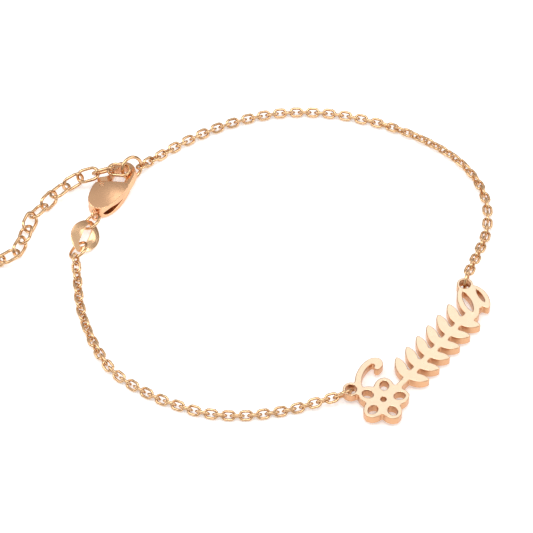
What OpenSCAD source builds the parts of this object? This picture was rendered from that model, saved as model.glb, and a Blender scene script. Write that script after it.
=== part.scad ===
// Nameplate bracelet, lying closed on a table: openwork ornament plate, two stretches of
// cable chain, lobster clasp with its rings and oval link, and an extender chain. Millimetres, +Z up.

/* [Plate] */
// Distance between the two eyelets
plate_span = 26.1; // [22:0.1:32]
// Thickness of the plate
plate_t = 1.5; // [1:0.1:2]
// Width of the ornament's stem and tendril
stroke_w = 1.0; // [0.8:0.05:1.4]
// Outer diameter of an eyelet
eyelet_d = 2.5; // [2.2:0.1:3]
// Hole of an eyelet
eyelet_hole = 1.6; // [1.4:0.1:1.8]
// Height of the plate's underside over the table
plate_z = 0.7; // [0.6:0.05:1]

/* [Cable chain] */
// Wire of the cable chain
chain_wire = 0.42; // [0.36:0.01:0.45]
// Width of a link of the cable chain
link_w = 1.65; // [1.5:0.05:1.8]
// Length that each link adds
link_pitch = 1.3; // [1.2:0.05:1.6]
// Clear space between links, and between a link and a ring
link_gap = 0.13; // [0.1:0.01:0.2]

/* [Extender] */
// Wire of the extender chain
ext_wire = 0.5; // [0.4:0.05:0.6]
// Length that each extender link adds
ext_pitch = 2.68; // [2.4:0.02:3]
// Width of an extender link
ext_w = 2.7; // [2.4:0.1:3]

/* [Rings] */
// Outer diameter of the two plate rings
plate_ring_d = 3.4; // [3:0.1:4]
// Outer diameter of the ring between clasp and oval link
clasp_ring_d = 3.3; // [3:0.1:4]
// Outer diameter of the ring between oval link and chain
link_ring_d = 3.5; // [3:0.1:4]
// Outer diameter of the ring that the clasp hooks into
catch_ring_d = 4; // [3.6:0.1:4.6]
// Wire of the small rings
ring_wire = 0.45; // [0.4:0.05:0.5]
// Wire of the ring that the clasp hooks into
catch_wire = 0.55; // [0.45:0.05:0.6]

/* [Oval link] */
// Length of the oval link
oval_l = 6.3; // [5.8:0.1:6.8]
// Width of the oval link
oval_w = 4.6; // [4:0.1:5]
// Thickness of the oval link
oval_t = 0.6; // [0.5:0.05:0.7]
// Width of its slot
oval_slot = 1.15; // [0.95:0.05:1.2]
// Width of its rim at both ends
oval_rim = 0.95; // [0.8:0.05:1.1]

/* [Clasp] */
// Thickness of the domed body
clasp_t = 2.8; // [2.6:0.1:3]
// Thickness of the hook
hook_t = 1.2; // [1:0.05:1.3]
// Width of the hook
hook_w = 1.1; // [1:0.05:1.2]
// Height of the slot that the lever turns in
slot_h = 0.85; // [0.8:0.05:0.95]
// Diameter of the lever's pin
pin_d = 0.6; // [0.5:0.05:0.7]
// Clear space round the lever: over and under it, and before the hook's tip
lever_gap = 0.08; // [0.06:0.01:0.1]

/* [Hidden] */
// Node names in build order

gold = [0.9, 0.68, 0.45];
$fn = 48;

// Lengths of the links, and half of a cable chain link's length between its wires' centres
link_len = link_pitch + 2 * chain_wire + link_gap;
link_half = (link_len - chain_wire) / 2;
ext_len = ext_pitch + 2 * ext_wire + link_gap;

// How far each link is turned about the chain from the one before it
link_turn = 80;
ext_turn = 90;

// Steps of a route's curve, and of an ornament line's curve
route_steps = 8;
line_steps = 6;
leaf_steps = 16;

// Places of the plate's eyelets, and directions in which the chains leave them
left_eye = [17.87, -25.1];
plate_turn = 48;
right_eye = left_eye + plate_span * [cos(plate_turn), sin(plate_turn)];
left_out = 204;
right_out = 75;
plate_ring_r = (plate_ring_d - ring_wire) / 2;
plate_ring_off = 1.25;
plate_ring_lean = 66;

// Places of the clasp, its rings and the oval link
eye_at = [-20.8, 8.3];
clasp_turn = 69.4;
clasp_mid = clasp_t / 2;
clasp_ring_r = (clasp_ring_d - ring_wire) / 2;
link_ring_r = (link_ring_d - ring_wire) / 2;
catch_r = (catch_ring_d - catch_wire) / 2;
oval_at = [-22.13, 4.25, 1.4];
oval_turn = 71.6;
oval_tilt = 28;
ring_roll = 36;
link_ring_slack = 0.7;
catch_at = [-15.4, 17.35, 1.83];
catch_turn = 39;
catch_roll = 64;
catch_out = 25;

function dir(a) = [cos(a), sin(a)];
function on_ring(at, turn, r) = [at[0] + r * cos(turn), at[1] + r * sin(turn)];

// How far a ring that leans by roll about one of its diameters reaches in plan, off degrees from that diameter
function lean_r(r, off, roll) = r / sqrt(pow(cos(off), 2) + pow(sin(off) / cos(roll), 2));

// How far inside a ring's wire the first joint of a chain lies
function hook_in(half, wire, ring_w, pitch) = pitch / 2 - (half - (wire + ring_w) / 2 - link_gap);
chain_hook = hook_in(link_half, chain_wire, ring_wire, link_pitch);
catch_hook = hook_in(link_half, chain_wire, catch_wire, link_pitch);

clasp_ring_at = on_ring(eye_at, oval_turn + 180, clasp_ring_r);
link_ring_far = oval_l / 2 - oval_rim - link_ring_slack;
link_ring_at = on_ring(oval_at, oval_turn + 180, link_ring_far + link_ring_r);

// Chain routes on the table, from ring to ring
left_start = on_ring(link_ring_at, oval_turn + 180, link_ring_r - chain_hook);
left_end = on_ring(left_eye, left_out, plate_ring_off + plate_ring_r - chain_hook);
left_route = concat([left_start], [[-23, -4.6], [-22.5, -8.6], [-21.4, -12.6], [-19.7, -16.8], [-17, -21.1],
    [-12.3, -24.7], [-7.9, -26.9], [-3.1, -28.5], [2.1, -28.9], [7.3, -28.2], [11.6, -27.1]], [left_end]);
left_rolls = [[0, -54], [10, -46], [24, 36], [50, 38], [58, 24]];
left_lifts = [[0, 0.9], [4, 0], [52, 0], [58, 0.8]];

right_start = on_ring(catch_at, catch_out, lean_r(catch_r, catch_turn - catch_out, catch_roll) - catch_hook);
right_end = on_ring(right_eye, right_out, plate_ring_off + plate_ring_r - chain_hook);
right_route = concat([right_start], [[-10.6, 21.2], [-6.1, 24.3], [-1.5, 26.8], [3.4, 28.6], [8.5, 29.6],
    [13.8, 29.6], [19, 28.7], [24.8, 26.7], [30.3, 23.8], [34.9, 20.2], [37.7, 16.4], [39.2, 12.4], [39.5, 8.5],
    [39, 4.8], [37.9, 1.6]], [right_end]);
right_rolls = [[0, 160], [9, 128], [38, 128], [50, 82], [60, 84], [72, 98], [80, 98]];
right_lifts = [[0, 0.6], [4, 0.02], [9, 0], [72, 0], [80, 1.05]];

// Extender: its first links lie over the clasp's hook, and its links lean so that all show their holes
ext_route = [[-16.1, 16.3], [-19.3, 16.6], [-20, 16.05], [-22.9, 15.55], [-24.8, 14.7], [-26.8, 12.9],
    [-28.4, 10.7], [-30.2, 8.5], [-31.2, 5.8], [-31.7, 2.8], [-33.1, 0.4], [-35.3, -0.7], [-37.6, -1], [-39.6, -1]];
ext_rolls = [[0, 14], [4, -30], [8, 12], [12, 22], [16, 30], [20, 40], [24, 24], [28, 10], [36, 7]];
ext_lifts = [[0, 1.25], [1.3, 1.1], [2.7, 1.2], [4, 1.25], [6.7, 0.75], [9.4, 0.12], [12, 0], [40, 0]];

// Smooth curve through a list of points, and its tables of place against length run
function bend(a, b, c, d, t) = 0.5 * (2 * b + (c - a) * t + (2 * a - 5 * b + 4 * c - d) * t * t
    + (3 * b - a - 3 * c + d) * t * t * t);
function spline(p, steps) = concat([for (i = [0 : len(p) - 2]) for (k = [0 : steps - 1])
    bend(p[max(i - 1, 0)], p[i], p[i + 1], p[min(i + 2, len(p) - 1)], k / steps)], [p[len(p) - 1]]);
function runs(c) = [for (i = 0, s = 0; i < len(c);
    s = s + (i + 1 < len(c) ? norm(c[i + 1] - c[i]) : 0), i = i + 1) s];
function table(c, s, k) = [for (i = [0 : len(c) - 1]) [s[i], c[i][k]]];

// One ring: a torus of round wire
module wire_ring(r, wire) {
    rotate_extrude() translate([r, 0]) circle(d = wire);
}

// One link: l long and w wide, of round wire
module oval_wire(l, w, wire) {
    r = (w - wire) / 2;
    straight = l - w;
    for (side = [1, -1]) {
        translate([side * straight / 2, 0, 0])
            rotate([0, 0, side * -90]) rotate_extrude(angle = 180) translate([r, 0]) circle(d = wire);
        translate([-straight / 2, side * r, 0]) rotate([0, 90, 0]) cylinder(d = wire, h = straight);
    }
}

// A chain along a route on the table; half is half of a link's width between its wires' centres,
// every second link is turned by turn, rolls turn all links about the route and lifts raise them,
// and children() is one link
module chain(route, rolls, lifts, pitch, half, wire, turn) {
    c = spline(route, route_steps);
    s = runs(c);
    total = s[len(s) - 1];
    n = ceil(total / pitch);
    xs = table(c, s, 0);
    ys = table(c, s, 1);
    for (i = [0 : n - 1]) {
        a = i * total / n;
        b = (i + 1) * total / n;
        mid = (a + b) / 2;
        roll = lookup(mid, rolls);
        p = [lookup(a, xs), lookup(a, ys)];
        q = [lookup(b, xs), lookup(b, ys)];
        rest = wire / 2 + half * max(abs(sin(roll)), abs(sin(roll + turn)));
        translate([(p[0] + q[0]) / 2, (p[1] + q[1]) / 2, rest + lookup(mid, lifts)])
            rotate([0, 0, atan2(q[1] - p[1], q[0] - p[0])])
                rotate([0, atan2(lookup(a, lifts) - lookup(b, lifts), b - a), 0])
                    rotate([roll + turn * (i % 2), 0, 0]) children();
    }
}

module ring_at(at, turn, slope, roll, r, wire) {
    translate(at) rotate([0, 0, turn]) rotate([0, -slope, 0]) rotate([roll, 0, 0]) wire_ring(r, wire);
}

// Ornament line: a band of even width with round ends along a smooth curve
module drawn_line(points, w) {
    c = spline(points, line_steps);
    last = len(c) - 1;
    side = [for (i = [0 : last]) let (t = c[min(i + 1, last)] - c[max(i - 1, 0)])
        [-t[1], t[0]] * w / 2 / norm(t)];
    polygon(concat([for (i = [0 : last]) c[i] + side[i]], [for (i = [last : -1 : 0]) c[i] - side[i]]));
    for (end = [c[0], c[last]]) translate(end) circle(d = w);
}

// Leaf shape of length l and width w; its tips are blunter where tip is smaller
module leaf(l, w, tip) {
    half = [for (k = [0 : leaf_steps]) let (t = k / leaf_steps) [(0.5 - t) * l, w / 2 * pow(sin(180 * t), tip)]];
    polygon(concat(half, [for (k = [leaf_steps - 1 : -1 : 1]) [half[k][0], -half[k][1]]]));
}

// Plate ornament: a flower, a tendril and a branch with leaves, measured from the left eyelet
// with x towards the right eyelet, and what lies by the right eyelet is measured back from that one.
// A leaf is [place of its centre, length, width, turn]
leaf_tip = 0.62;
petal_tip = 0.5;
tip_round = 0.15;
fillet = 0.26;
pairs = 6;
upper_first = [[7.9, -3.0], 4.2, 1.7, 62];
upper_last = [[plate_span - 5.5, -2.35], 4.2, 1.7, 62];
lower_first = [[8.1, -5.9], 3.6, 1.55, -58];
lower_last = [[plate_span - 5.3, -5.15], 3.6, 1.55, -58];
single_leaves = [[[plate_span - 2.35, -2.6], 6.4, 3.0, 62], [[plate_span - 0.2, -3.3], 4.9, 2.2, 68]];
veins = [[[plate_span - 2.25, -2.4], 3.9, 1.05, 62], [[plate_span - 0.1, -3.1], 2.5, 0.55, 68]];
stem = [[2.4, -4.9], [7.5, -4.75], [plate_span - 9.6, -4.25], [plate_span - 5.1, -4], [plate_span - 0.7, -4.2]];
tendril = [[0.9, -0.9], [1.7, 0.1], [2.9, 0.85], [4.4, 1.25], [5.8, 1.15], [6.55, 0.55], [6.3, -0.15], [5.6, -0.25]];
flower_at = [1.8, -4.7];
petals = 5;
petal = [2.15, 3.6, 3.0];
petal_slot = [2.45, 1.7, 1.3];
petal_turn = 38;
heart_d = 2.4;
heart_hole = 0.8;

module put_leaf(f) {
    translate(f[0]) rotate(f[3]) leaf(f[1], f[2], leaf_tip);
}

module leaf_row(first, last) {
    for (i = [0 : pairs - 1]) put_leaf(first + (last - first) * i / (pairs - 1));
}

module petal_ring(out, l, w) {
    for (i = [0 : petals - 1]) translate(flower_at) rotate(petal_turn + i * 360 / petals) translate([out, 0])
        leaf(l, w, petal_tip);
}

module name_plate() {
    color(gold) translate([left_eye[0], left_eye[1], plate_z]) rotate([0, 0, plate_turn])
        linear_extrude(plate_t) difference() {
            offset(r = -fillet, $fn = 16) offset(r = fillet + tip_round, $fn = 16) offset(r = -tip_round, $fn = 16) {
                for (x = [0, plate_span]) translate([x, 0]) circle(d = eyelet_d);
                petal_ring(petal[0], petal[1], petal[2]);
                translate(flower_at) circle(d = heart_d);
                leaf_row(upper_first, upper_last);
                leaf_row(lower_first, lower_last);
                for (f = single_leaves) put_leaf(f);
                drawn_line(tendril, stroke_w);
                drawn_line(stem, stroke_w);
            }
            for (x = [0, plate_span]) translate([x, 0]) circle(d = eyelet_hole);
            translate(flower_at) circle(d = heart_hole);
            petal_ring(petal_slot[0], petal_slot[1], petal_slot[2]);
            for (f = veins) put_leaf(f);
        }
}

module plate_ring_left() {
    at = on_ring(left_eye, left_out, plate_ring_off);
    color(gold) ring_at([at[0], at[1], plate_ring_r * sin(plate_ring_lean) + ring_wire / 2], left_out, 0, plate_ring_lean,
        plate_ring_r, ring_wire);
}

module plate_ring_right() {
    at = on_ring(right_eye, right_out, plate_ring_off);
    color(gold) ring_at([at[0], at[1], plate_ring_d / 2], right_out, 0, 90, plate_ring_r, ring_wire);
}

module chain_left() {
    color(gold) chain(left_route, left_rolls, left_lifts, link_pitch, (link_w - chain_wire) / 2, chain_wire,
        link_turn) oval_wire(link_len, link_w, chain_wire);
}

module chain_right() {
    color(gold) chain(right_route, right_rolls, right_lifts, link_pitch, (link_w - chain_wire) / 2, chain_wire,
        link_turn) oval_wire(link_len, link_w, chain_wire);
}

module link_ring() {
    color(gold) ring_at([link_ring_at[0], link_ring_at[1], oval_at[2]], oval_turn, 0, -ring_roll,
        link_ring_r, ring_wire);
}

// Flat oval link, domed on both faces, slotted along its length
module oval_link() {
    dome = 9;
    end_tip = 0.6;
    slot_tip = 0.22;
    color(gold) translate(oval_at) rotate([0, 0, oval_turn]) rotate([oval_tilt, 0, 0]) difference() {
        intersection() {
            linear_extrude(oval_t, center = true) leaf(oval_l, oval_w, end_tip);
            translate([0, 0, oval_t / 2 - dome]) sphere(dome, $fn = 96);
        }
        linear_extrude(2 * oval_t, center = true) leaf(oval_l - 2 * oval_rim, oval_slot, slot_tip);
    }
}

module clasp_ring() {
    color(gold) ring_at([clasp_ring_at[0], clasp_ring_at[1], oval_at[2]], oval_turn, 0,
        -ring_roll, clasp_ring_r, ring_wire);
}

// Clasp shapes, measured from the eye with x to the hook's top and y to the side of the lever
body_shape = [[0.45, 0.1], [0.75, 1], [1.6, 1.8], [2.7, 2.1], [4, 2.2], [5.2, 2.05], [5.75, 1.2], [6.2, 0],
    [6.6, -1.2], [7.1, -2.4], [7, -2.95], [5.8, -2.95], [4.2, -2.75], [2.8, -2.35], [1.5, -1.7], [0.7, -0.9], [0.45, 0.1]];
hook_line = [[5.2, -2.4], [6.8, -2.55], [8.2, -2.6], [9.5, -2.4], [10.45, -1.6], [10.7, -0.5], [10.35, 0.4], [9.5, 0.8]];
eye_r = 0.7;
eye_wire = 0.44;
eye_lean = 60;
dome_at = [3.6, -0.3];
dome_r = 16;
clasp_steps = 4;
pivot = [5, 0.9];
back_slit = [[0.8, -0.15], [1.3, 0.3], [2.2, 0.4], [3.2, 0.15], [4.6, -0.1], [3.4, -0.45], [2.2, -0.75], [1.2, -0.65],
    [0.8, -0.15]];
back_slit_deep = 3.8;
lever_slot = [[1.3, -1.2], [4.1, -1.4], [6.8, -1.0], [7.2, 3], [1.3, 3]];
lever_shape = [[4.4, 0.3], [5.4, 0.1], [6.6, 0.1], [7.8, 0.2], [8.6, 0.25], [9, 0.5], [8.9, 0.75], [8.1, 0.95],
    [7.5, 1.5], [7.1, 2.2], [6.6, 2.4], [6.1, 2.05], [5.4, 1.6], [4.5, 1.55], [4.2, 0.9], [4.4, 0.3]];

// The hook leans about a line along the clasp, and the lever's slot lies below the clasp's middle
hook_tilt = 14;
hook_axis = -1.6;
slot_drop = 0.18;

// The pin: how much wider than it its holes are, and how far its ends lie under the domes
body_hole_play = 0.04;
lever_hole_play = 0.08;
pin_sunk = 0.2;

module at_clasp() {
    translate([eye_at[0], eye_at[1], clasp_mid]) rotate([0, 0, clasp_turn]) children();
}

module clasp_body() {
    color(gold) at_clasp() difference() {
        union() {
            intersection() {
                linear_extrude(clasp_t, center = true) polygon(spline(body_shape, clasp_steps));
                translate([dome_at[0], dome_at[1], clasp_mid - dome_r]) sphere(dome_r, $fn = 96);
                translate([dome_at[0], dome_at[1], dome_r - clasp_mid]) sphere(dome_r, $fn = 96);
            }
            translate([0, hook_axis, 0]) rotate([-hook_tilt, 0, 0]) translate([0, -hook_axis, 0])
                linear_extrude(hook_t, center = true) drawn_line(hook_line, hook_w);
            rotate([eye_lean, 0, 0]) wire_ring(eye_r, eye_wire);
        }
        translate([0, 0, -slot_drop]) linear_extrude(slot_h, center = true) polygon(lever_slot);
        rotate([90, 0, 0]) linear_extrude(back_slit_deep) polygon(spline(back_slit, clasp_steps));
        translate([pivot[0], pivot[1], -clasp_t]) cylinder(d = pin_d + body_hole_play, h = 2 * clasp_t);
    }
}

module clasp_lever() {
    color(gold) at_clasp() difference() {
        translate([0, 0, -slot_drop]) linear_extrude(slot_h - 2 * lever_gap, center = true) difference() {
            polygon(spline(lever_shape, clasp_steps));
            translate(hook_line[len(hook_line) - 1]) circle(d = hook_w + 2 * lever_gap);
        }
        translate([pivot[0], pivot[1], -clasp_t]) cylinder(d = pin_d + lever_hole_play, h = 2 * clasp_t);
    }
}

module clasp_pin() {
    color(gold) at_clasp() translate([pivot[0], pivot[1], pin_sunk - clasp_mid])
        cylinder(d = pin_d, h = clasp_t - 2 * pin_sunk);
}

module catch_ring() {
    color(gold) ring_at(catch_at, catch_turn, 0, catch_roll, catch_r, catch_wire);
}

module extender_chain() {
    color(gold) chain(ext_route, ext_rolls, ext_lifts, ext_pitch, (ext_w - ext_wire) / 2, ext_wire, ext_turn)
        oval_wire(ext_len, ext_w, ext_wire);
}

name_plate();
plate_ring_left();
plate_ring_right();
chain_left();
chain_right();
link_ring();
oval_link();
clasp_ring();
clasp_body();
clasp_lever();
clasp_pin();
catch_ring();
extender_chain();
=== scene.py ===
import math

import bpy
import numpy as np
from mathutils import Matrix, Vector, geometry


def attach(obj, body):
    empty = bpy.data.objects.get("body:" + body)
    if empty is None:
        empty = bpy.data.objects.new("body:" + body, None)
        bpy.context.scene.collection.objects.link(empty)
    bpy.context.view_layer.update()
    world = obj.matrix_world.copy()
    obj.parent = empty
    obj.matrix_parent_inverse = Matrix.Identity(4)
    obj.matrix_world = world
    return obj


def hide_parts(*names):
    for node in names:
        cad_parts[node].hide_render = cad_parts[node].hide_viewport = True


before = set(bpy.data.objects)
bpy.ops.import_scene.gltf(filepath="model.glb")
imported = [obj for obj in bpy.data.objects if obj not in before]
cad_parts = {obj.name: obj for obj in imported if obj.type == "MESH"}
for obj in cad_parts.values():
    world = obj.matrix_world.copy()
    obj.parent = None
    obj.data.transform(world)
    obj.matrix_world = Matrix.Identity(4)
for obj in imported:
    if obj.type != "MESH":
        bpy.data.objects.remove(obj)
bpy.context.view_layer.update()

# A millimetre in metres, and how close corner points lie that are one point
MM = 0.001
MERGE = 1e-7

# Camera: the photograph's frame and the view it was taken from
IMAGE_SIZE = 533
FOCAL_PX = 3000
SENSOR = 36
VIEW_ELEVATION = math.radians(52)
VIEW_DISTANCE = 0.4559
LOOK_AT = Vector((0.0055, -0.00065, 0))

# Light table: half its side, how far it lies under the bracelet, and how much it glows,
# where the white of the picture is 1
FLOOR_HALF = 3
FLOOR_UNDER = 0.02 * MM
FLOOR_GLOW = 0.35

# Lights: place, what it aims at, width and height, and brightness, where the white of the picture is 1
SOFTBOXES = {
    "plate_card": ((0.06, 0.25, 0.36), (0.03, -0.015, 0), (0.13, 0.14), 1.05),
    "back_right_card": ((0.3, 0.2, 0.27), (-0.02, 0.005, 0), (0.16, 0.2), 2),
    "ceiling_box": ((-0.04, -0.12, 0.62), (0, 0, 0), (0.36, 0.28), 4),
    "window_box": ((-0.5, 0.02, 0.4), (0, 0, 0), (0.3, 0.36), 3),
    "right_box": ((0.48, -0.16, 0.36), (0, 0, 0), (0.24, 0.3), 3),
}

# Sections of the wire pieces: points round a link, and points round its wire
CHAIN_ROUND, CHAIN_WIRE = 30, 12
EXTENDER_ROUND, EXTENDER_WIRE = 44, 16
RING_ROUND, RING_WIRE = 72, 18

# Plate: radius of its rounded rims, top and bottom, and steps of a rim
PLATE_TOP_RIM = 0.15 * MM
PLATE_LOW_RIM = 0.07 * MM
RIM_STEPS = 5

# Plate's outline: points closer than this are left out, and the rims' inset at a corner grows to
# at most 1 / MITRE_LIMIT
OUTLINE_STEP = 0.01 * MM
MITRE_LIMIT = 0.5

# Cast pieces: cells of their mesh in millimetres, and how often their edges are tumbled
LINK_CAST = (0.05, 5)
BODY_CAST = (0.06, 7)
LEVER_CAST = (0.05, 5)
PIN_CAST = (0.03, 4)

# Sizes of the soft blotches and of the fine polishing marks, per metre, and the marks' depth
BLOTCH_SCALE = 380
MARK_SCALE = 2600
MARK_DEPTH = 0.01 * MM

# Where a noise turns into blotches, and where the painted highlight on an upward face and the painted shade of
# an edge turned from the eye set in, are full, and how strong they are
BLOTCH_RANGE = (0.42, 0.66)
TOP_HIGHLIGHT_RANGE = (0.8, 0.99, 0.9)
EDGE_SHADE_RANGE = (0.35, 0.95, 0.85)

# Studio dome: height and colour of its dark and of its light part
DOME_DARK = (0.1, (0.2, 0.18, 0.17, 1))
DOME_LIGHT = (0.75, (0.66, 0.65, 0.64, 1))


# Meshes of the CAD nodes

def node_mesh(node):
    """Corner points of a CAD node, with those at one place joined, and its triangles."""
    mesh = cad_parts[node].data
    mesh.calc_loop_triangles()
    points = np.array([v.co for v in mesh.vertices])
    triangles = np.array([t.vertices for t in mesh.loop_triangles])
    keys = np.round(points / MERGE).astype(np.int64)
    _, first, back = np.unique(keys, axis=0, return_index=True, return_inverse=True)
    return points[first], back.reshape(-1)[triangles]


def loose_solids(node):
    """Corner points of each loose solid of a CAD node."""
    points, triangles = node_mesh(node)
    label = np.arange(len(points))
    while True:
        low = label[triangles].min(axis=1)
        before = label.copy()
        for corner in range(3):
            np.minimum.at(label, triangles[:, corner], low)
        label = label[label]
        if (label == before).all():
            break
    return [points[label == one] for one in np.unique(label)]


def lie_of(points):
    """Middle of a flat solid, its long, wide and thin directions, and half its size along them."""
    spread = points - points.mean(axis=0)
    _, axes = np.linalg.eigh(spread.T @ spread)
    axes = axes.T[::-1]
    along = points @ axes.T
    low, high = along.min(axis=0), along.max(axis=0)
    middle = (low + high) / 2 @ axes
    return middle, axes, (high - low) / 2


# Making pieces

def new_piece(name, vertices, faces, body, replaced, material, normals=None):
    mesh = bpy.data.meshes.new(name)
    mesh.from_pydata([tuple(v) for v in vertices], [], faces)
    mesh.shade_smooth()
    if normals is not None:
        mesh.normals_split_custom_set_from_vertices(normals)
    piece = bpy.data.objects.new(name, mesh)
    bpy.context.scene.collection.objects.link(piece)
    dress(piece, body, replaced, material)
    return piece


def dress(piece, body, replaced, material):
    piece.data.materials.clear()
    piece.data.materials.append(material)
    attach(piece, body)
    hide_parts(*replaced)


def wire_loop(middle, axes, half, around, across):
    """A ring or an oval link of round wire, of the size and place of a CAD solid."""
    wire = half[2]
    bend = half[1] - wire
    straight = half[0] - half[1]
    vertices, faces = [], []
    for i in range(around):
        turn = 2 * math.pi * (i + 0.5) / around
        out = math.cos(turn) * axes[0] + math.sin(turn) * axes[1]
        shift = math.copysign(straight, math.cos(turn)) * axes[0]
        for k in range(across):
            lean = 2 * math.pi * k / across
            vertices.append(middle + shift + (bend + wire * math.cos(lean)) * out
                            + wire * math.sin(lean) * axes[2])
            j, n = (i + 1) % around, (k + 1) % across
            faces.append((i * across + k, j * across + k, j * across + n, i * across + n))
    return vertices, faces


def wire_piece(name, node, body, around, across, material):
    """All links or rings of a CAD node, drawn anew in their places with fine round wire."""
    vertices, faces = [], []
    for points in loose_solids(node):
        first = len(vertices)
        ring, sides = wire_loop(*lie_of(points), around, across)
        vertices += ring
        faces += [tuple(first + corner for corner in side) for side in sides]
    return new_piece(name, vertices, faces, body, [node], material)


def outline_loops(node):
    """Closed outlines of a flat plate's top face, with the metal on their left, and its two heights."""
    points, triangles = node_mesh(node)
    low, high = points[:, 2].min(), points[:, 2].max()
    top = triangles[(np.abs(points[triangles][:, :, 2] - high) < MERGE).all(axis=1)]
    forward = {}
    edges = set()
    for a, b, c in top:
        edges.update([(a, b), (b, c), (c, a)])
    for a, b in edges:
        if (b, a) not in edges:
            forward[a] = b
    loops = []
    while forward:
        start, at = next(iter(forward.items()))
        loop = [start]
        del forward[start]
        while at != start:
            loop.append(at)
            at = forward.pop(at)
        loops.append(points[loop][:, :2])
    return [thinned(loop) for loop in loops], low, high


def thinned(loop):
    """An outline without points that lie too close to the one before."""
    kept = [loop[0]]
    for point in loop[1:]:
        if np.linalg.norm(point - kept[-1]) > OUTLINE_STEP:
            kept.append(point)
    return np.array(kept)


def inward(loop):
    """Directions into the metal at an outline's points, longer where it turns, to keep an even inset."""
    side = np.roll(loop, -1, axis=0) - loop
    side /= np.linalg.norm(side, axis=1)[:, None]
    left = np.stack([-side[:, 1], side[:, 0]], axis=1)
    before = np.roll(left, 1, axis=0)
    return (left + before) / np.maximum(1 + (left * before).sum(axis=1), MITRE_LIMIT)[:, None]


def plate_piece(name, node, body, material):
    """The ornament plate with rounded rims, from the CAD plate's outline."""
    loops, low, high = outline_loops(node)
    profile = []
    for rim, edge, way in ((PLATE_LOW_RIM, low, 1), (PLATE_TOP_RIM, high, -1)):
        for step in range(RIM_STEPS + 1):
            lean = math.pi / 2 * (step if way > 0 else RIM_STEPS - step) / RIM_STEPS
            inset = rim * (1 - math.sin(lean))
            height = edge + way * rim * (1 - math.cos(lean))
            profile.append((inset, height, -way * math.cos(lean)))
    vertices, normals, faces = [], [], []
    caps = ([], [])
    for loop in loops:
        count, first, into = len(loop), len(vertices), inward(loop)
        facing = into / np.linalg.norm(into, axis=1)[:, None]
        for depth, height, rise in profile:
            flat = math.sqrt(1 - rise * rise)
            vertices += [(x, y, height) for x, y in loop + depth * into]
            normals += [(-flat * x, -flat * y, rise) for x, y in facing]
        for row in range(len(profile) - 1):
            for i in range(count):
                a, b = first + row * count + i, first + row * count + (i + 1) % count
                faces.append((a, b, b + count, a + count))
        for cap, row in ((caps[0], 0), (caps[1], len(profile) - 1)):
            cap.append([first + row * count + i for i in range(count)])
    for cap, up in ((caps[0], False), (caps[1], True)):
        index = [i for ring in cap for i in ring]
        for corners in geometry.tessellate_polygon([[Vector(vertices[i]) for i in ring] for ring in cap]):
            a, b, c = (index[i] for i in corners)
            at, following, last = (Vector(vertices[i]) for i in (a, b, c))
            rising = (following - at).cross(last - at).z > 0
            faces.append((a, b, c) if rising == up else (a, c, b))
    return new_piece(name, vertices, faces, body, [node], material, normals)


def cast_piece(name, node, body, material, cast):
    """A cast piece: the CAD solid with its edges tumbled round."""
    cell, passes = cast
    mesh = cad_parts[node].data.copy()
    mesh.transform(Matrix.Scale(1 / MM, 4))
    rough = bpy.data.objects.new(name + "_rough", mesh)
    bpy.context.scene.collection.objects.link(rough)
    cells = rough.modifiers.new("cells", "REMESH")
    cells.mode = "VOXEL"
    cells.voxel_size = cell
    tumble = rough.modifiers.new("tumble", "SMOOTH")
    tumble.factor = 0.5
    tumble.iterations = passes
    bpy.context.view_layer.update()
    made = bpy.data.meshes.new_from_object(rough.evaluated_get(bpy.context.evaluated_depsgraph_get()))
    bpy.data.objects.remove(rough)
    made.transform(Matrix.Scale(MM, 4))
    made.name = name
    made.shade_smooth()
    piece = bpy.data.objects.new(name, made)
    bpy.context.scene.collection.objects.link(piece)
    dress(piece, body, [node], material)
    return piece


# Materials

def polish_group():
    """Polished gold's surface: soft blotches of colour, and fine polishing marks in its gloss and height."""
    group = bpy.data.node_groups.new("gold_polish", "ShaderNodeTree")
    sockets = (("INPUT", "Colour", "Color"), ("INPUT", "Shade", "Color"), ("INPUT", "Blotch", "Float"),
               ("INPUT", "Gloss", "Float"), ("INPUT", "Marks", "Float"),
               ("OUTPUT", "Colour", "Color"), ("OUTPUT", "Roughness", "Float"), ("OUTPUT", "Height", "Float"))
    for way, name, kind in sockets:
        group.interface.new_socket(name=name, in_out=way, socket_type="NodeSocket" + kind)
    nodes, links = group.nodes, group.links
    given = nodes.new("NodeGroupInput")
    made = nodes.new("NodeGroupOutput")
    place = nodes.new("ShaderNodeTexCoord")

    soft = nodes.new("ShaderNodeTexNoise")
    soft.inputs["Scale"].default_value = BLOTCH_SCALE
    soft.inputs["Detail"].default_value = 2
    links.new(place.outputs["Object"], soft.inputs["Vector"])
    spread = nodes.new("ShaderNodeMapRange")
    spread.inputs["From Min"].default_value, spread.inputs["From Max"].default_value = BLOTCH_RANGE
    links.new(soft.outputs["Fac"], spread.inputs["Value"])
    amount = nodes.new("ShaderNodeMath")
    amount.operation = "MULTIPLY"
    links.new(spread.outputs["Result"], amount.inputs[0])
    links.new(given.outputs["Blotch"], amount.inputs[1])
    tint = nodes.new("ShaderNodeMix")
    tint.data_type = "RGBA"
    links.new(amount.outputs[0], tint.inputs["Factor"])
    links.new(given.outputs["Colour"], tint.inputs["A"])
    links.new(given.outputs["Shade"], tint.inputs["B"])
    links.new(tint.outputs["Result"], made.inputs["Colour"])

    fine = nodes.new("ShaderNodeTexNoise")
    fine.inputs["Scale"].default_value = MARK_SCALE
    fine.inputs["Detail"].default_value = 3
    links.new(place.outputs["Object"], fine.inputs["Vector"])
    marks = nodes.new("ShaderNodeMath")
    marks.operation = "MULTIPLY_ADD"
    links.new(fine.outputs["Fac"], marks.inputs[0])
    links.new(given.outputs["Marks"], marks.inputs[1])
    links.new(given.outputs["Gloss"], marks.inputs[2])
    links.new(marks.outputs[0], made.inputs["Roughness"])
    links.new(fine.outputs["Fac"], made.inputs["Height"])
    return group


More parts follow.
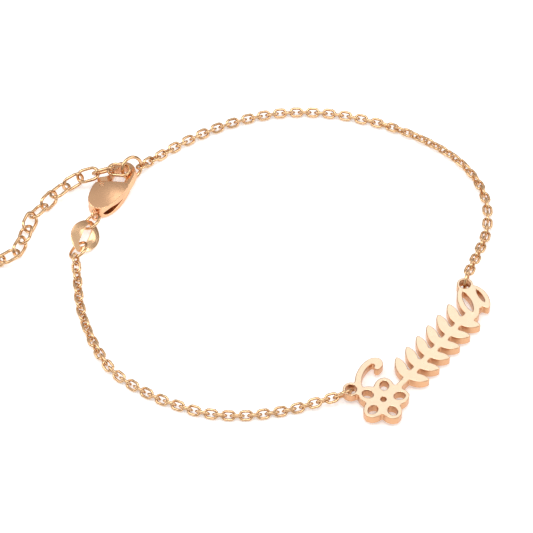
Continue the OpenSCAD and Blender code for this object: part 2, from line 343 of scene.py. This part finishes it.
def mixed(nodes, links, mask, first, second):
    """A colour that goes from the first to the second where the mask goes from 0 to 1."""
    mix = nodes.new("ShaderNodeMix")
    mix.data_type = "RGBA"
    links.new(mask, mix.inputs["Factor"])
    links.new(first, mix.inputs["A"])
    mix.inputs["B"].default_value = (*second, 1)
    return mix.outputs["Result"]


def ranged(nodes, links, value, low, high, most):
    """A mask that rises from 0 to most while the value goes from low to high."""
    spread = nodes.new("ShaderNodeMapRange")
    spread.interpolation_type = "SMOOTHSTEP"
    spread.inputs["From Min"].default_value = low
    spread.inputs["From Max"].default_value = high
    spread.inputs["To Max"].default_value = most
    links.new(value, spread.inputs["Value"])
    return spread.outputs["Result"]


def gold(name, colour, shade, edge, blotch, gloss, marks, bump, face=None):
    """A polished gold finish. shade is the colour of its blotches, edge the darker colour of its painted shade
    where it turns away, and face the paler colour of a painted highlight on an upward face. marks and bump are
    how marked its gloss and height are."""
    material = bpy.data.materials.new(name)
    material.use_nodes = True
    nodes, links = material.node_tree.nodes, material.node_tree.links
    shader = nodes["Principled BSDF"]
    shader.inputs["Metallic"].default_value = 1
    polish = nodes.new("ShaderNodeGroup")
    polish.node_tree = POLISH
    polish.inputs["Colour"].default_value = (*colour, 1)
    polish.inputs["Shade"].default_value = (*shade, 1)
    polish.inputs["Blotch"].default_value = blotch
    polish.inputs["Gloss"].default_value = gloss
    polish.inputs["Marks"].default_value = marks
    tone = polish.outputs["Colour"]
    # Painted highlight: faces that look upward are mixed towards the paler face colour, standing in for the
    # bright light they reflect.
    if face:
        normal = nodes.new("ShaderNodeTexCoord")
        split = nodes.new("ShaderNodeSeparateXYZ")
        links.new(normal.outputs["Normal"], split.inputs["Vector"])
        tone = mixed(nodes, links, ranged(nodes, links, split.outputs["Z"], *TOP_HIGHLIGHT_RANGE), tone, face)
    # Painted shade: where the surface turns away from the eye, its colour is mixed towards the darker edge
    # colour, standing in for dark surroundings in its reflection.
    turned = nodes.new("ShaderNodeLayerWeight")
    turned.inputs["Blend"].default_value = 0.5
    tone = mixed(nodes, links, ranged(nodes, links, turned.outputs["Facing"], *EDGE_SHADE_RANGE), tone, edge)
    links.new(tone, shader.inputs["Base Color"])
    links.new(polish.outputs["Roughness"], shader.inputs["Roughness"])
    relief = nodes.new("ShaderNodeBump")
    relief.inputs["Strength"].default_value = bump
    relief.inputs["Distance"].default_value = MARK_DEPTH
    links.new(polish.outputs["Height"], relief.inputs["Height"])
    links.new(relief.outputs["Normal"], shader.inputs["Normal"])
    return material


POLISH = polish_group()
# Painted light in these colours: the plate's face colour is a painted highlight on its top, and each edge
# colour is painted shade where a surface turns away; the clasp's red edge colour paints the glow of light
# bounced inside its slit.
PLATE_GOLD = gold("plate_gold", (0.7, 0.4, 0.22), shade=(0.62, 0.33, 0.17), edge=(0.62, 0.34, 0.19),
                  blotch=0.35, gloss=0.24, marks=0.1, bump=0.3, face=(0.88, 0.71, 0.52))
CHAIN_GOLD = gold("chain_gold", (0.77, 0.5, 0.28), shade=(0.66, 0.39, 0.2), edge=(0.33, 0.17, 0.085),
                  blotch=0.4, gloss=0.14, marks=0.06, bump=0.2)
CLASP_GOLD = gold("clasp_gold", (0.87, 0.52, 0.3), shade=(0.82, 0.46, 0.26), edge=(0.72, 0.33, 0.14),
                  blotch=0.35, gloss=0.22, marks=0.06, bump=0.2)
# The oval link's gold is paler than the clasp's: painted light, making the link look more brightly lit.
LINK_GOLD = gold("link_gold", (0.94, 0.61, 0.36), shade=(0.87, 0.51, 0.29), edge=(0.62, 0.32, 0.15),
                 blotch=0.5, gloss=0.16, marks=0.06, bump=0.2)

# Pieces of the bracelet

plate_piece("ornament_plate", "name_plate", "bracelet", PLATE_GOLD)
for ring in ("plate_ring_left", "plate_ring_right", "link_ring", "clasp_ring", "catch_ring"):
    wire_piece("jump_ring_" + ring.replace("_ring", ""), ring, "bracelet", RING_ROUND, RING_WIRE, CHAIN_GOLD)
wire_piece("cable_chain_left", "chain_left", "bracelet", CHAIN_ROUND, CHAIN_WIRE, CHAIN_GOLD)
wire_piece("cable_chain_right", "chain_right", "bracelet", CHAIN_ROUND, CHAIN_WIRE, CHAIN_GOLD)
wire_piece("extender_links", "extender_chain", "bracelet", EXTENDER_ROUND, EXTENDER_WIRE, CHAIN_GOLD)
cast_piece("oval_leaf_link", "oval_link", "bracelet", LINK_GOLD, LINK_CAST)
cast_piece("lobster_body", "clasp_body", "bracelet", CLASP_GOLD, BODY_CAST)
cast_piece("lobster_lever", "clasp_lever", "lever", CLASP_GOLD, LEVER_CAST)
cast_piece("lever_pin", "clasp_pin", "bracelet", CLASP_GOLD, PIN_CAST)

# Floor, light and camera

def floor():
    """A white table that glows a little, as on a light table, so that shadows stay faint."""
    corners = [(x * FLOOR_HALF, y * FLOOR_HALF, 0) for x, y in ((-1, -1), (1, -1), (1, 1), (-1, 1))]
    mesh = bpy.data.meshes.new("floor")
    mesh.from_pydata(corners, [], [(0, 1, 2, 3)])
    table = bpy.data.objects.new("floor", mesh)
    bpy.context.scene.collection.objects.link(table)
    table.location.z = -FLOOR_UNDER
    white = bpy.data.materials.new("white_table")
    white.use_nodes = True
    shader = white.node_tree.nodes["Principled BSDF"]
    shader.inputs["Base Color"].default_value = (0.93, 0.93, 0.93, 1)
    shader.inputs["Roughness"].default_value = 0.7
    shader.inputs["Specular IOR Level"].default_value = 0.2
    shader.inputs["Emission Color"].default_value = (1, 1, 1, 1)
    shader.inputs["Emission Strength"].default_value = FLOOR_GLOW
    mesh.materials.append(white)


def softbox(name, place, aim, size, brightness):
    """A softbox of an even brightness."""
    light = bpy.data.lights.new(name, "AREA")
    light.shape = "RECTANGLE"
    light.size, light.size_y = size
    light.energy = brightness * math.pi * size[0] * size[1]
    lamp = bpy.data.objects.new(name, light)
    bpy.context.scene.collection.objects.link(lamp)
    lamp.location = place
    lamp.rotation_euler = (Vector(aim) - Vector(place)).to_track_quat("-Z", "Y").to_euler()


def studio_dome():
    """The studio's walls and ceiling: darker low down, lighter overhead."""
    world = bpy.data.worlds.new("studio")
    bpy.context.scene.world = world
    world.use_nodes = True
    nodes, links = world.node_tree.nodes, world.node_tree.links
    place = nodes.new("ShaderNodeTexCoord")
    split = nodes.new("ShaderNodeSeparateXYZ")
    links.new(place.outputs["Generated"], split.inputs["Vector"])
    ramp = nodes.new("ShaderNodeValToRGB")
    low, high = ramp.color_ramp.elements
    low.position, low.color = DOME_DARK
    high.position, high.color = DOME_LIGHT
    links.new(split.outputs["Z"], ramp.inputs["Fac"])
    links.new(ramp.outputs["Color"], nodes["Background"].inputs["Color"])


def camera():
    lens = bpy.data.cameras.new("photo_view")
    lens.sensor_width = SENSOR
    lens.lens = FOCAL_PX / IMAGE_SIZE * SENSOR
    lens.clip_start = 0.01
    eye = bpy.data.objects.new("photo_view", lens)
    bpy.context.scene.collection.objects.link(eye)
    eye.location = LOOK_AT + VIEW_DISTANCE * Vector((0, -math.cos(VIEW_ELEVATION), math.sin(VIEW_ELEVATION)))
    eye.rotation_euler = (LOOK_AT - eye.location).to_track_quat("-Z", "Y").to_euler()
    bpy.context.scene.camera = eye


floor()
for softbox_name, values in SOFTBOXES.items():
    softbox(softbox_name, *values)
studio_dome()
camera()
bpy.context.scene.view_settings.view_transform = "Standard"
